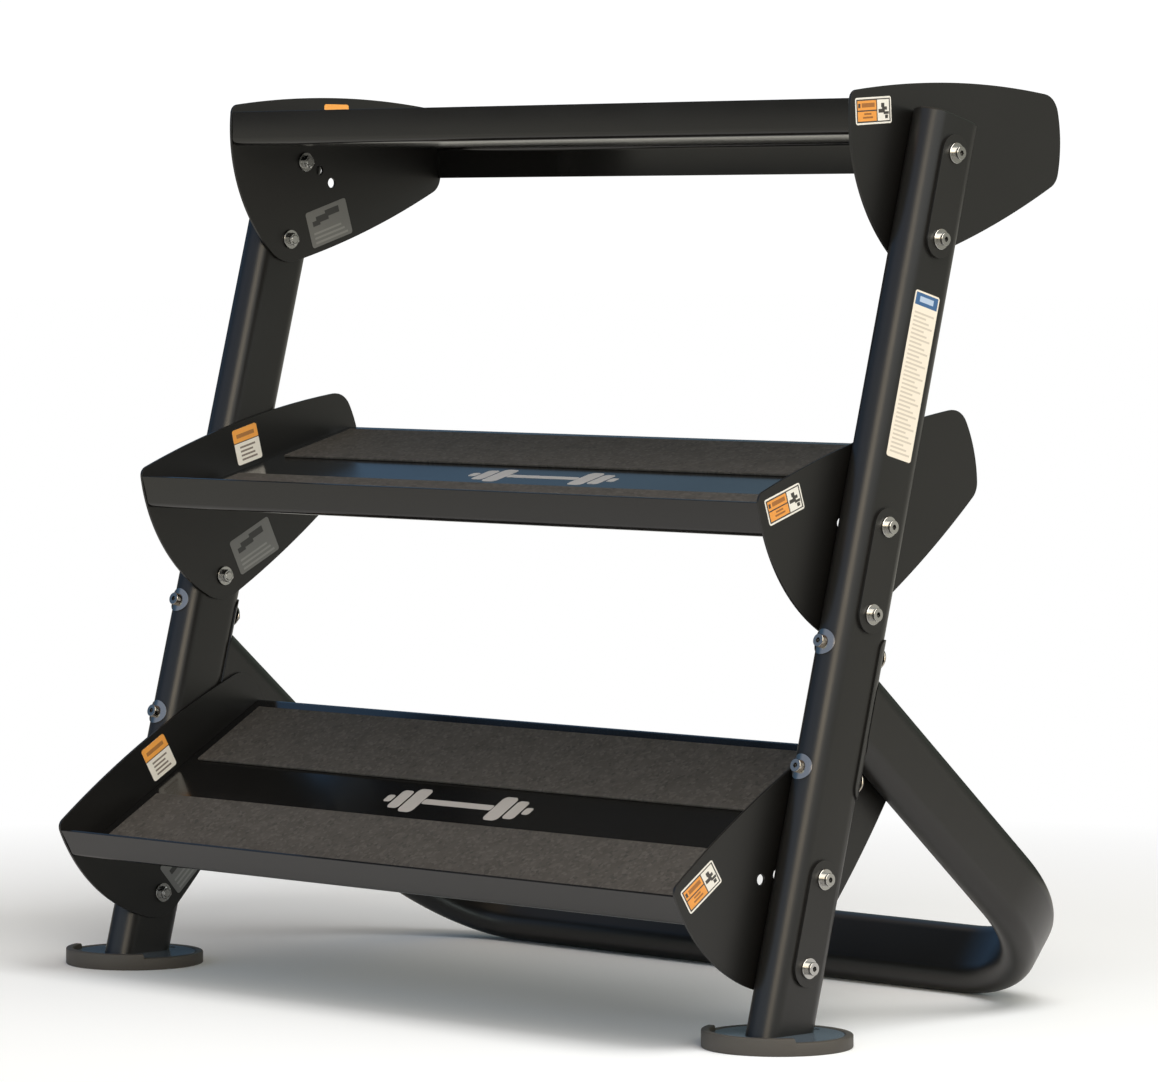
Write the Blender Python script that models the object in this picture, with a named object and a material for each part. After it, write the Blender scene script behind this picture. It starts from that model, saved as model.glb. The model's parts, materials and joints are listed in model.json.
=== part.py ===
"""Three-tier dumbbell rack, built as separate pieces at real size.

Two flat-oval uprights lean back on round feet. Each of the three trays hangs between them on two
side plates, and swings about its pivot bolts between three tilt holes. A bent U-shaped tube is the
rear stand. Units are metres: +X to the right, +Y to the rear, +Z up. The finished rack's origin lies
on the floor, in the middle of its footprint. While it is built, y is counted from the line where the
plane of the uprights' axes meets the floor.
"""

import math

import bmesh
import bpy
from mathutils import Matrix, Vector

# Driving dimensions of the whole rack.
SHELF_WIDTH = 0.918
LEAN = math.radians(15)
GAP = 0.0003

# Flat-oval tube, used for the uprights and for the rear stand.
TUBE_DEPTH = 0.078
TUBE_WIDTH = 0.039
TUBE_WALL = 0.003
TUBE_ARC_STEPS = 8
UPRIGHT_TOP = 0.944

# Feet.
FOOT_RADIUS = 0.075
FOOT_RIM_HEIGHT = 0.013
FOOT_LIP_HEIGHT = 0.0175
FOOT_FLOOR = 0.006
FOOT_LIP_HALF_ANGLE = math.radians(64)
FOOT_LIP_TURN = math.radians(-7)
FOOT_LIP_STEP = math.radians(1.5)
FOOT_SIDES = 48
BASE_PLATE_RADIUS = 0.0665
BASE_PLATE_TOP = 0.0125
ANCHOR_HOLE_RADIUS = 0.006
ANCHOR_HOLE_Y = 0.053

# Trays: the pivot's distance along the upright, and the tilt of the floor at rest.
TRAYS = {
    "top": (0.820, math.radians(0)),
    "middle": (0.436, math.radians(15)),
    "lower": (0.080, math.radians(30)),
}
TILT_STEP = math.radians(15)
ANGLE_BOLT_RADIUS = 0.089
PLATE_THICKNESS = 0.003
PLATE_HOLE_RADIUS = 0.0055

# Side plate: four long arcs (centre and radius, from the pivot) and the arcs that join them.
PLATE_TOP_ARC = (0.068, -0.963, 1.1208)
PLATE_REAR_ARC = (0.094, 0.098, 0.140)
PLATE_LOWER_ARC = (-0.264, 1.044, 1.1024)
PLATE_FRONT_ARC = (0.097, 0.121, 0.184)
PLATE_FRONT_CORNER = 0.010
PLATE_REAR_TOP_CORNER = 0.024
PLATE_REAR_LOW_CORNER = 0.020
PLATE_LOBE = 0.040

# Tray pan, in the tray's own frame: x to the rear and z up, from the pivot.
SHEET = 0.003
PAN_FRONT = -0.086
PAN_REAR = 0.230
PAN_UNDERSIDE = 0.103
PAN_LIP_TOP = 0.140
PAN_FLANGE_BOTTOM = 0.0695
PAN_BEND = 0.005
MAT_THICKNESS = 0.0025
MAT_DEPTH = 0.105
MAT_FRONT = -0.069
MAT_REAR = 0.104
MAT_SIDE_GAP = 0.018

# Bolt strips on the outer faces of the uprights.
STRIP_LENGTH = 0.127
STRIP_WIDTH = 0.038
STRIP_THICKNESS = 0.003

# Rear stand.
STAND_SLOPE = math.radians(40.3)
STAND_BAR_Y = 0.4566
STAND_BEND_RADIUS = 0.152
STAND_BEND_STEPS = 8
SADDLE_RADIUS = 0.0216
SADDLE_CENTRE = 0.336
SADDLE_LENGTH = 0.162
SADDLE_OUTER_ANGLE = math.radians(7)
SADDLE_INNER_ANGLE = math.radians(148)
SADDLE_CORNER = 0.012
STAND_BOLT_OFFSET = 0.063

# Fasteners.
FASTENER_SIDES = 12
SHANK_RADIUS = 0.00475
BORE_RADIUS = 0.0053
WASHER_RADIUS = 0.0105
WASHER_THICKNESS = 0.002
SADDLE_WASHER_RADIUS = 0.0128
REAR_WASHER_RADIUS = 0.0120
HEAD_RADIUS = 0.0066
HEAD_HEIGHT = 0.006
SOCKET_FLATS = 0.0050
SOCKET_DEPTH = 0.003
NUT_FLATS = 0.0127
NUT_HEIGHT = 0.0055
BOLT_END = 0.0005

HALF_SHELF = SHELF_WIDTH / 2
PLATE_OUTER = HALF_SHELF + PLATE_THICKNESS
UPRIGHT_INNER = PLATE_OUTER + GAP
UPRIGHT_X = UPRIGHT_INNER + TUBE_WIDTH / 2
UPRIGHT_OUTER = UPRIGHT_INNER + TUBE_WIDTH
STRIP_OUTER = UPRIGHT_OUTER + GAP + STRIP_THICKNESS
TUBE_RADIUS = TUBE_WIDTH / 2
ROUND_CENTRE = (TUBE_DEPTH - TUBE_WIDTH) / 2
PAN_FLOOR = PAN_UNDERSIDE + SHEET
SIDES = {"left": -1, "right": 1}


def clear_scene():
    for obj in list(bpy.data.objects):
        bpy.data.objects.remove(obj, do_unlink=True)


def make_material(name, colour, roughness, metallic=0.0):
    material = bpy.data.materials.new(name)
    material.use_nodes = True
    shader = material.node_tree.nodes["Principled BSDF"]
    shader.inputs["Base Color"].default_value = (*colour, 1.0)
    shader.inputs["Roughness"].default_value = roughness
    shader.inputs["Metallic"].default_value = metallic
    return material


def make_frame(name, parent=None, location=(0.0, 0.0, 0.0), turn_about_x=0.0):
    """An empty that holds the pieces of one frame: location, then a turn about the X axis."""
    frame = bpy.data.objects.new(name, None)
    bpy.context.collection.objects.link(frame)
    frame.parent = parent
    frame.location = location
    frame.rotation_euler = (turn_about_x, 0.0, 0.0)
    return frame


def add_object(name, vertices, faces, material, parent, matrix=Matrix()):
    """Make one piece from vertices and faces, with its faces turned outwards."""
    mesh = bpy.data.meshes.new(name)
    mesh.from_pydata([tuple(vertex) for vertex in vertices], [], faces)
    surface = bmesh.new()
    surface.from_mesh(mesh)
    bmesh.ops.recalc_face_normals(surface, faces=surface.faces)
    surface.to_mesh(mesh)
    surface.free()
    mesh.materials.append(material)
    mesh.shade_smooth()
    mesh.set_sharp_from_angle(angle=math.radians(35))
    piece = bpy.data.objects.new(name, mesh)
    bpy.context.collection.objects.link(piece)
    piece.parent = parent
    piece.matrix_local = matrix
    return piece


def ring_faces(first, second, count):
    """Faces between two rings of points that start at the given indices."""
    return [
        (first + i, first + (i + 1) % count, second + (i + 1) % count, second + i)
        for i in range(count)
    ]


def loft(rings, hollow=False):
    """Skin a list of equal rings. A hollow skin joins its last ring to its first, with no caps."""
    count = len(rings[0])
    vertices = [point for ring in rings for point in ring]
    faces = []
    for i in range(len(rings) - 1):
        faces += ring_faces(i * count, (i + 1) * count, count)
    last = (len(rings) - 1) * count
    if hollow:
        faces += ring_faces(last, 0, count)
    else:
        faces.append(tuple(range(count)))
        faces.append(tuple(range(last, last + count)))
    return vertices, faces


def arc(centre_a, centre_b, radius, start, end, steps):
    """Points along an arc from angle start to angle end, both included."""
    points = []
    for i in range(steps + 1):
        angle = start + (end - start) * i / steps
        points.append((centre_a + radius * math.cos(angle), centre_b + radius * math.sin(angle)))
    return points


def flat_oval(depth, width, steps=TUBE_ARC_STEPS):
    """Flat-oval outline: two half circles joined by straight sides along the second axis."""
    offset = (depth - width) / 2
    rear = arc(0.0, offset, width / 2, 0.0, math.pi, steps)
    front = arc(0.0, -offset, width / 2, math.pi, 2 * math.pi, steps)
    return rear + front


def circle(centre_a, centre_b, radius, sides=12):
    return arc(centre_a, centre_b, radius, 0.0, 2 * math.pi * (sides - 1) / sides, sides - 1)


def slab(name, outline, holes, low, high, material, parent):
    """A flat piece with through holes: outlines in (y, z), thickness along X from low to high."""
    surface = bmesh.new()
    edges = []
    for loop in [outline] + holes:
        corners = [surface.verts.new((low, y, z)) for y, z in loop]
        for i, corner in enumerate(corners):
            edges.append(surface.edges.new((corner, corners[(i + 1) % len(corners)])))
    bmesh.ops.triangle_fill(surface, use_beauty=True, use_dissolve=False, edges=edges)
    extruded = bmesh.ops.extrude_face_region(surface, geom=surface.faces[:])
    moved = [item for item in extruded["geom"] if isinstance(item, bmesh.types.BMVert)]
    bmesh.ops.translate(surface, verts=moved, vec=(high - low, 0.0, 0.0))
    surface.verts.index_update()
    vertices = [vertex.co.copy() for vertex in surface.verts]
    faces = [tuple(vertex.index for vertex in face.verts) for face in surface.faces]
    surface.free()
    return add_object(name, vertices, faces, material, parent)


def add_cutter(name, target, parent, holes):
    """Cut round holes into target. A hole is its centre, its direction, its radius and length."""
    surface = bmesh.new()
    for centre, direction, radius, length in holes:
        turn = Vector((0.0, 0.0, 1.0)).rotation_difference(Vector(direction)).to_matrix().to_4x4()
        bmesh.ops.create_cone(
            surface, cap_ends=True, segments=12, radius1=radius, radius2=radius, depth=length,
            matrix=Matrix.Translation(centre) @ turn,
        )
    mesh = bpy.data.meshes.new(name)
    surface.to_mesh(mesh)
    surface.free()
    cutter = bpy.data.objects.new(name, mesh)
    bpy.context.collection.objects.link(cutter)
    cutter.parent = parent
    cutter.hide_render = True
    cutter.display_type = "WIRE"
    cut = target.modifiers.new("holes", "BOOLEAN")
    cut.operation = "DIFFERENCE"
    cut.solver = "EXACT"
    cut.object = cutter


def upright_ring(outline, side, height_at):
    """One ring of an upright: the outline's (x, v) points, at the height each one has along it."""
    return [Vector((side * UPRIGHT_X + x, v, height_at(v))) for x, v in outline]


def on_base_plate(v):
    """Distance along the upright at which it meets the top of the base plate."""
    return (BASE_PLATE_TOP + GAP + v * math.sin(LEAN)) / math.cos(LEAN)


def add_upright(name, side, frame, material):
    outer = flat_oval(TUBE_DEPTH, TUBE_WIDTH)
    inner = flat_oval(TUBE_DEPTH - 2 * TUBE_WALL, TUBE_WIDTH - 2 * TUBE_WALL)
    rings = [
        upright_ring(outer, side, on_base_plate),
        upright_ring(outer, side, lambda v: UPRIGHT_TOP),
        upright_ring(inner, side, lambda v: UPRIGHT_TOP),
        upright_ring(inner, side, on_base_plate),
    ]
    upright = add_object(name, *loft(rings, hollow=True), material, frame)
    holes = []
    for pivot, _ in TRAYS.values():
        for height in (pivot, pivot + ANGLE_BOLT_RADIUS):
            holes.append(((side * UPRIGHT_X, 0.0, height), (1, 0, 0), BORE_RADIUS, 0.1))
    for offset in (-STAND_BOLT_OFFSET, STAND_BOLT_OFFSET):
        centre = (side * UPRIGHT_X, 0.0, SADDLE_CENTRE + offset)
        holes.append((centre, (0, 1, 0), BORE_RADIUS, 0.2))
    add_cutter(name + "_holes", upright, frame, holes)


def add_upright_cap(name, side, frame, material):
    """Lid on top of the tube, with a plug that reaches down inside it."""
    lid_thickness = 0.003
    plug_length = 0.012
    lid = flat_oval(TUBE_DEPTH, TUBE_WIDTH)
    clearance = 2 * (TUBE_WALL + GAP)
    plug = flat_oval(TUBE_DEPTH - clearance, TUBE_WIDTH - clearance)
    seat = UPRIGHT_TOP + GAP
    rings = [
        upright_ring(plug, side, lambda v: seat - plug_length),
        upright_ring(plug, side, lambda v: seat),
        upright_ring(lid, side, lambda v: seat),
        upright_ring(lid, side, lambda v: seat + lid_thickness),
    ]
    add_object(name, *loft(rings), material, frame)


def add_foot(name, side, frame, material):
    """Rubber cup under the base plate, with a higher lip round its front."""
    x = side * UPRIGHT_X
    inner = BASE_PLATE_RADIUS + GAP
    angles = [2 * math.pi * i / FOOT_SIDES for i in range(FOOT_SIDES)]
    front = 1.5 * math.pi + FOOT_LIP_TURN
    for end in (-FOOT_LIP_HALF_ANGLE, FOOT_LIP_HALF_ANGLE):
        angles += [front + end - FOOT_LIP_STEP / 2, front + end + FOOT_LIP_STEP / 2]
    angles.sort()
    rings = [[], [], [], []]
    for angle in angles:
        raised = abs(angle - front) < FOOT_LIP_HALF_ANGLE
        top = FOOT_LIP_HEIGHT if raised else FOOT_RIM_HEIGHT
        profile = [(FOOT_RADIUS, 0.0), (FOOT_RADIUS, top), (inner, top), (inner, FOOT_FLOOR)]
        for ring, (radius, z) in zip(rings, profile):
            ring.append(Vector((x + radius * math.cos(angle), radius * math.sin(angle), z)))
    add_object(name, *loft(rings), material, frame)


def add_base_plate(name, side, frame, material):
    """Round steel plate welded under the upright, with one floor anchor hole behind it."""
    x = side * UPRIGHT_X
    low = FOOT_FLOOR + GAP
    outline = circle(0.0, 0.0, BASE_PLATE_RADIUS, 40)
    rings = [[Vector((x + a, b, z)) for a, b in outline] for z in (low, BASE_PLATE_TOP)]
    plate = add_object(name, *loft(rings), material, frame)
    hole = ((x, ANCHOR_HOLE_Y, low), (0, 0, 1), ANCHOR_HOLE_RADIUS, 0.05)
    add_cutter(name + "_hole", plate, frame, [hole])


def corner_centre(first, second, radius, near):
    """Centre of the arc that touches two larger arcs from inside, on the side of the near point."""
    (ax, ay, ar), (bx, by, br) = first, second
    from_a = ar - radius
    from_b = br - radius
    apart = math.hypot(bx - ax, by - ay)
    along = (apart**2 + from_a**2 - from_b**2) / (2 * apart)
    across = math.sqrt(from_a**2 - along**2)
    ux, uy = (bx - ax) / apart, (by - ay) / apart
    choices = [
        (ax + along * ux - sign * across * uy, ay + along * uy + sign * across * ux)
        for sign in (-1, 1)
    ]
    return min(choices, key=lambda point: math.hypot(point[0] - near[0], point[1] - near[1]))


def plate_outline():
    """Side plate outline in (x, z) from the pivot, anticlockwise: eight arcs that meet smoothly."""
    corners = [
        (PLATE_TOP_ARC, PLATE_FRONT_ARC, PLATE_FRONT_CORNER, (-0.08, 0.14)),
        (PLATE_FRONT_ARC, PLATE_LOWER_ARC, PLATE_LOBE, (0.0, 0.0)),
        (PLATE_LOWER_ARC, PLATE_REAR_ARC, PLATE_REAR_LOW_CORNER, (0.21, 0.07)),
        (PLATE_REAR_ARC, PLATE_TOP_ARC, PLATE_REAR_TOP_CORNER, (0.21, 0.13)),
    ]
    steps = {PLATE_FRONT_ARC: 10, PLATE_LOWER_ARC: 6, PLATE_REAR_ARC: 4, PLATE_TOP_ARC: 12}
    joints = []
    for before, after, radius, near in corners:
        cx, cz = corner_centre(before, after, radius, near)
        start = math.atan2(cz - before[1], cx - before[0])
        end = math.atan2(cz - after[1], cx - after[0])
        joints.append((before, after, radius, cx, cz, start, end))
    points = []
    for i, (_, after, radius, cx, cz, start, end) in enumerate(joints):
        points += arc(cx, cz, radius, start, start + (end - start) % (2 * math.pi), 6)
        long_end = joints[(i + 1) % len(joints)][5]
        sweep = (long_end - end) % (2 * math.pi)
        points += arc(after[0], after[1], after[2], end, end + sweep, steps[after])[1:-1]
    return points


def add_side_plate(name, side, frame, material):
    holes = [circle(0.0, 0.0, PLATE_HOLE_RADIUS)]
    for step in (1, 2, 3):
        angle = step * TILT_STEP
        y = ANGLE_BOLT_RADIUS * math.sin(angle)
        z = ANGLE_BOLT_RADIUS * math.cos(angle)
        holes.append(circle(y, z, PLATE_HOLE_RADIUS))
    low, high = sorted((side * HALF_SHELF, side * PLATE_OUTER))
    slab(name, plate_outline(), holes, low, high, material, frame)


def pan_outline():
    """Bent sheet: front lip up, level floor, rear flange down, in (x, z)."""
    steps = 4
    outer = PAN_BEND + SHEET
    quarter = math.pi / 2
    points = [(PAN_FRONT, PAN_LIP_TOP)]
    points += arc(PAN_FRONT + outer, PAN_UNDERSIDE + outer, outer, 2 * quarter, 3 * quarter, steps)
    inner_rear = (PAN_REAR - outer, PAN_FLOOR - outer)
    points += arc(*inner_rear, PAN_BEND, quarter, 0.0, steps)
    points.append((PAN_REAR - SHEET, PAN_FLANGE_BOTTOM))
    points.append((PAN_REAR, PAN_FLANGE_BOTTOM))
    points += arc(*inner_rear, outer, 0.0, quarter, steps)
    points += arc(
        PAN_FRONT + outer, PAN_UNDERSIDE + outer, PAN_BEND, 3 * quarter, 2 * quarter, steps
    )
    points.append((PAN_FRONT + SHEET, PAN_LIP_TOP))
    return points


def box_outline(front, depth, low, height):
    return [
        (front, low), (front + depth, low), (front + depth, low + height), (front, low + height)
    ]


def add_tray(name, frame, steel, rubber):
    """One tray in its own frame: pan, two rubber mats and two side plates."""
    end = HALF_SHELF - GAP
    slab(f"{name}_tray_pan", pan_outline(), [], -end, end, steel, frame)
    mat_end = HALF_SHELF - MAT_SIDE_GAP
    for place, front in (("front", MAT_FRONT), ("rear", MAT_REAR)):
        outline = box_outline(front, MAT_DEPTH, PAN_FLOOR + GAP, MAT_THICKNESS)
        slab(f"{name}_mat_{place}", outline, [], -mat_end, mat_end, rubber, frame)
    for side_name, side in SIDES.items():
        add_side_plate(f"{name}_side_plate_{side_name}", side, frame, steel)


def add_strip(name, side, pivot, frame, material):
    """Obround strip on the outside of an upright, under the heads of a tray's two bolts."""
    middle = pivot + ANGLE_BOLT_RADIUS / 2
    outline = [(a, middle + b) for a, b in flat_oval(STRIP_LENGTH, STRIP_WIDTH)]
    holes = [circle(0.0, height, BORE_RADIUS) for height in (pivot, pivot + ANGLE_BOLT_RADIUS)]
    low, high = sorted((side * (UPRIGHT_OUTER + GAP), side * STRIP_OUTER))
    slab(name, outline, holes, low, high, material, frame)


def pin_ring(height, radius, flats):
    """Ring of a fastener about its local Z. A height that is a function follows a curved seat."""
    ring = []
    for i in range(FASTENER_SIDES):
        angle = 2 * math.pi * i / FASTENER_SIDES
        reach = radius
        if flats:
            reach = radius if i % 2 else radius / math.cos(math.pi / 6)
        x = reach * math.cos(angle)
        y = reach * math.sin(angle)
        z = height(x) if callable(height) else height
        ring.append(Vector((x, y, z)))
    return ring


def add_pin(name, sections, material, parent, matrix, hollow=False):
    """A fastener from its sections: height, radius, and whether it is a hexagon."""
    rings = [pin_ring(*section) for section in sections]
    add_object(name, *loft(rings, hollow), material, parent, matrix)


def head_sections(seat, washer_radius=WASHER_RADIUS):
    """Washer, socket head and socket of a bolt, from its seat outwards."""
    washer_top = seat + WASHER_THICKNESS
    head_top = washer_top + HEAD_HEIGHT
    return [
        (washer_top, washer_radius, False),
        (washer_top, HEAD_RADIUS, False),
        (head_top, HEAD_RADIUS, False),
        (head_top, SOCKET_FLATS / 2, True),
        (head_top - SOCKET_DEPTH, SOCKET_FLATS / 2, True),
    ]


def nut_sections(seat, bore):
    """Washer and hexagon nut from the seat inwards, which is down the local Z."""
    washer_low = seat - WASHER_THICKNESS
    nut_low = washer_low - NUT_HEIGHT
    return [
        (nut_low, bore, False),
        (nut_low, NUT_FLATS / 2, True),
        (washer_low, NUT_FLATS / 2, True),
        (washer_low, WASHER_RADIUS, False),
        (seat, WASHER_RADIUS, False),
        (seat, bore, False),
    ]


def across(side, height):
    """Places a fastener on its hole: its local Z points out of the rack, along X."""
    turn = Matrix.Rotation(side * math.pi / 2, 4, "Y")
    return Matrix.Translation((0.0, 0.0, height)) @ turn


def add_pivot_bolt(tray, side_name, side, height, frame, material):
    """Through bolt on which a tray swings, and its nut inside the side plate."""
    seat = STRIP_OUTER + GAP
    nut_seat = HALF_SHELF - GAP
    end = nut_seat - WASHER_THICKNESS - NUT_HEIGHT - BOLT_END
    bolt = [(end, SHANK_RADIUS, False), (seat, SHANK_RADIUS, False), (seat, WASHER_RADIUS, False)]
    place = across(side, height)
    bolt_name = f"{tray}_pivot_bolt_{side_name}"
    add_pin(bolt_name, bolt + head_sections(seat), material, frame, place)
    nut = nut_sections(nut_seat, BORE_RADIUS)
    add_pin(f"{tray}_pivot_nut_{side_name}", nut, material, frame, place, hollow=True)


def add_angle_bolt(tray, side_name, side, height, frame, material):
    """Bolt that sets the tilt. Its shank stops on either side of the side plate."""
    seat = STRIP_OUTER + GAP
    inner_end = UPRIGHT_INNER
    bolt = [
        (inner_end, SHANK_RADIUS, False), (seat, SHANK_RADIUS, False), (seat, WASHER_RADIUS, False)
    ]
    place = across(side, height)
    bolt_name = f"{tray}_angle_bolt_{side_name}"
    add_pin(bolt_name, bolt + head_sections(seat), material, frame, place)
    nut_seat = HALF_SHELF - GAP
    nut = nut_sections(nut_seat, SHANK_RADIUS)
    tip = (nut[0][0] - BOLT_END, SHANK_RADIUS, False)
    add_pin(f"{tray}_angle_nut_{side_name}", [tip] + nut[:-1], material, frame, place)


def stand_path():
    """Stations of the stand in its own plane: centre across, centre down the legs, turn angle."""
    bar = stand_bar_distance()
    bend_x = UPRIGHT_X - STAND_BEND_RADIUS
    bend_down = bar - STAND_BEND_RADIUS
    stations = [(UPRIGHT_X, 0.0, 0.0)]
    for side, first in ((1, 0.0), (-1, math.pi / 2)):
        for i in range(STAND_BEND_STEPS + 1):
            turn = first + math.pi / 2 * i / STAND_BEND_STEPS
            centre_x = side * bend_x + STAND_BEND_RADIUS * math.cos(turn)
            centre_down = bend_down + STAND_BEND_RADIUS * math.sin(turn)
            stations.append((centre_x, centre_down, turn))
    stations.append((-UPRIGHT_X, 0.0, math.pi))
    return stations


def stand_origin():
    """The point of the legs' plane, at mid-width, that lies on the uprights' axes."""
    bar_z = ROUND_CENTRE * math.cos(STAND_SLOPE) + TUBE_RADIUS
    distance = stand_bar_distance()
    rise = Vector((0.0, -math.cos(STAND_SLOPE), math.sin(STAND_SLOPE)))
    return Vector((0.0, STAND_BAR_Y, bar_z)) + distance * rise


def stand_bar_distance():
    """Distance down the legs from the uprights' axes to the middle of the floor bar."""
    bar_z = ROUND_CENTRE * math.cos(STAND_SLOPE) + TUBE_RADIUS
    behind = STAND_BAR_Y * math.cos(LEAN) - bar_z * math.sin(LEAN)
    return behind / math.cos(STAND_SLOPE - LEAN)


def saddle_back(x, gap):
    """Distance behind the upright's axis, just off the back of its saddle, x from its middle."""
    return ROUND_CENTRE + math.sqrt((SADDLE_RADIUS + gap) ** 2 - x**2)


def stand_point(station, across_plane, outwards):
    """A point of the stand's skin: its offsets along the plane's normal and out of the bend."""
    x, down, turn = station
    leg = Vector((0.0, math.cos(STAND_SLOPE), -math.sin(STAND_SLOPE)))
    normal = Vector((0.0, math.sin(STAND_SLOPE), math.cos(STAND_SLOPE)))
    point = stand_origin() + normal * across_plane + leg * (down + outwards * math.sin(turn))
    point.x = x + outwards * math.cos(turn)
    if down == 0.0:
        behind = Vector((0.0, math.cos(LEAN), -math.sin(LEAN)))
        missing = saddle_back(abs(point.x) - UPRIGHT_X, 2 * GAP) - point.dot(behind)
        point += leg * (missing / leg.dot(behind))
    return point


def add_rear_stand(frame, material):
    """Bent flat-oval tube: two legs and a floor bar, its leg ends coped round the saddles."""
    outer = flat_oval(TUBE_DEPTH, TUBE_WIDTH)
    inner = flat_oval(TUBE_DEPTH - 2 * TUBE_WALL, TUBE_WIDTH - 2 * TUBE_WALL)
    stations = stand_path()
    skin = [[stand_point(s, v, x) for x, v in outer] for s in stations]
    bore = [[stand_point(s, v, x) for x, v in inner] for s in reversed(stations)]
    add_object("rear_stand", *loft(skin + bore, hollow=True), material, frame)


def saddle_ring(height, inset, side):
    """Cross-section of a saddle in (x, v): it wraps the round back of an upright."""
    steps = 12
    inner = TUBE_RADIUS + GAP
    trim = inset / SADDLE_RADIUS
    start = SADDLE_OUTER_ANGLE + trim
    end = SADDLE_INNER_ANGLE - trim
    points = arc(0.0, ROUND_CENTRE, SADDLE_RADIUS, start, end, steps)
    points += arc(0.0, ROUND_CENTRE, inner, end, start, steps)
    return [Vector((side * (UPRIGHT_X + x), v, height)) for x, v in points]


def add_saddle(name, side, frame, material):
    """Curved plate welded to a leg and bolted against the back of an upright."""
    steps = 4
    stations = []
    for i in range(steps + 1):
        turn = math.pi / 2 * i / steps
        inset = SADDLE_CORNER * (1 - math.sin(turn))
        from_end = SADDLE_CORNER * (1 - math.cos(turn))
        stations.append((SADDLE_LENGTH / 2 - from_end, inset))
    low = [saddle_ring(SADDLE_CENTRE - reach, inset, side) for reach, inset in stations]
    high = [saddle_ring(SADDLE_CENTRE + reach, inset, side) for reach, inset in reversed(stations)]
    saddle = add_object(name, *loft(low + high), material, frame)
    holes = []
    for offset in (-STAND_BOLT_OFFSET, STAND_BOLT_OFFSET):
        centre = (side * UPRIGHT_X, 0.0, SADDLE_CENTRE + offset)
        holes.append((centre, (0, 1, 0), BORE_RADIUS, 0.2))
    add_cutter(name + "_holes", saddle, frame, holes)


def add_stand_bolt(name, side, height, frame, material):
    """Bolt through an upright and its saddle, in one piece with its nut and shaped washers."""

    def tube_front(x):
        return ROUND_CENTRE + math.sqrt((TUBE_RADIUS + GAP) ** 2 - x**2)

    def back(x):
        return -saddle_back(x, GAP)

    rear_washer = -(ROUND_CENTRE + SADDLE_RADIUS + WASHER_THICKNESS)
    nut_low = rear_washer - NUT_HEIGHT
    front_top = TUBE_DEPTH / 2
    between = (SHANK_RADIUS + SADDLE_WASHER_RADIUS) / 2
    sections = [
        (nut_low - BOLT_END, SHANK_RADIUS, False),
        (nut_low, SHANK_RADIUS, False),
        (nut_low, NUT_FLATS / 2, True),
        (rear_washer, NUT_FLATS / 2, True),
        (rear_washer, REAR_WASHER_RADIUS, False),
        (back, REAR_WASHER_RADIUS, False),
        (back, (SHANK_RADIUS + REAR_WASHER_RADIUS) / 2, False),
        (back, SHANK_RADIUS, False),
        (tube_front, SHANK_RADIUS, False),
        (tube_front, between, False),
        (tube_front, SADDLE_WASHER_RADIUS, False),
    ]
    sections += head_sections(front_top, SADDLE_WASHER_RADIUS)
    turn = Matrix.Rotation(math.pi / 2, 4, "X")
    place = Matrix.Translation((side * UPRIGHT_X, 0.0, height)) @ turn
    add_pin(name, sections, material, frame, place)


def centre_footprint(rack):
    """Move the whole rack so that its bounding box is centred on the origin from front to rear."""
    bpy.context.view_layer.update()
    reach = [
        (piece.matrix_world @ vertex.co).y
        for piece in bpy.data.objects
        if piece.type == "MESH" and not piece.hide_render
        for vertex in piece.data.vertices
    ]
    rack.location.y = -(min(reach) + max(reach)) / 2


def build_rack():
    clear_scene()
    powder_coat = make_material("black_powder_coat", (0.028, 0.026, 0.024), 0.38)
    pan_coat = make_material("gloss_black_powder_coat", (0.018, 0.018, 0.020), 0.22)
    plate_steel = make_material("base_plate_steel", (0.24, 0.29, 0.34), 0.30, 0.6)
    rubber = make_material("foot_rubber", (0.115, 0.100, 0.092), 0.75)
    mat_rubber = make_material("mat_rubber", (0.060, 0.056, 0.054), 0.90)
    cap_plastic = make_material("cap_plastic", (0.030, 0.029, 0.028), 0.50)
    bright_steel = make_material("bright_zinc_steel", (0.62, 0.62, 0.60), 0.28, 1.0)

    rack = make_frame("rack_frame")
    lean = make_frame("uprights_frame", rack, turn_about_x=-LEAN)
    for side_name, side in SIDES.items():
        add_foot(f"foot_{side_name}", side, rack, rubber)
        add_base_plate(f"base_plate_{side_name}", side, rack, plate_steel)
        add_upright(f"upright_{side_name}", side, lean, powder_coat)
        add_upright_cap(f"upright_cap_{side_name}", side, lean, cap_plastic)
        add_saddle(f"stand_saddle_{side_name}", side, lean, powder_coat)
        for place, offset in (("upper", STAND_BOLT_OFFSET), ("lower", -STAND_BOLT_OFFSET)):
            bolt_name = f"stand_bolt_{place}_{side_name}"
            add_stand_bolt(bolt_name, side, SADDLE_CENTRE + offset, lean, bright_steel)
    add_rear_stand(rack, powder_coat)

    for tray, (pivot, tilt) in TRAYS.items():
        location = (0.0, pivot * math.sin(LEAN), pivot * math.cos(LEAN))
        frame = make_frame(f"{tray}_tray_frame", rack, location, tilt)
        add_tray(tray, frame, pan_coat, mat_rubber)
        for side_name, side in SIDES.items():
            add_strip(f"{tray}_bolt_strip_{side_name}", side, pivot, lean, powder_coat)
            add_pivot_bolt(tray, side_name, side, pivot, lean, bright_steel)
            angle_height = pivot + ANGLE_BOLT_RADIUS
            add_angle_bolt(tray, side_name, side, angle_height, lean, bright_steel)
    centre_footprint(rack)


build_rack()
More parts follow.
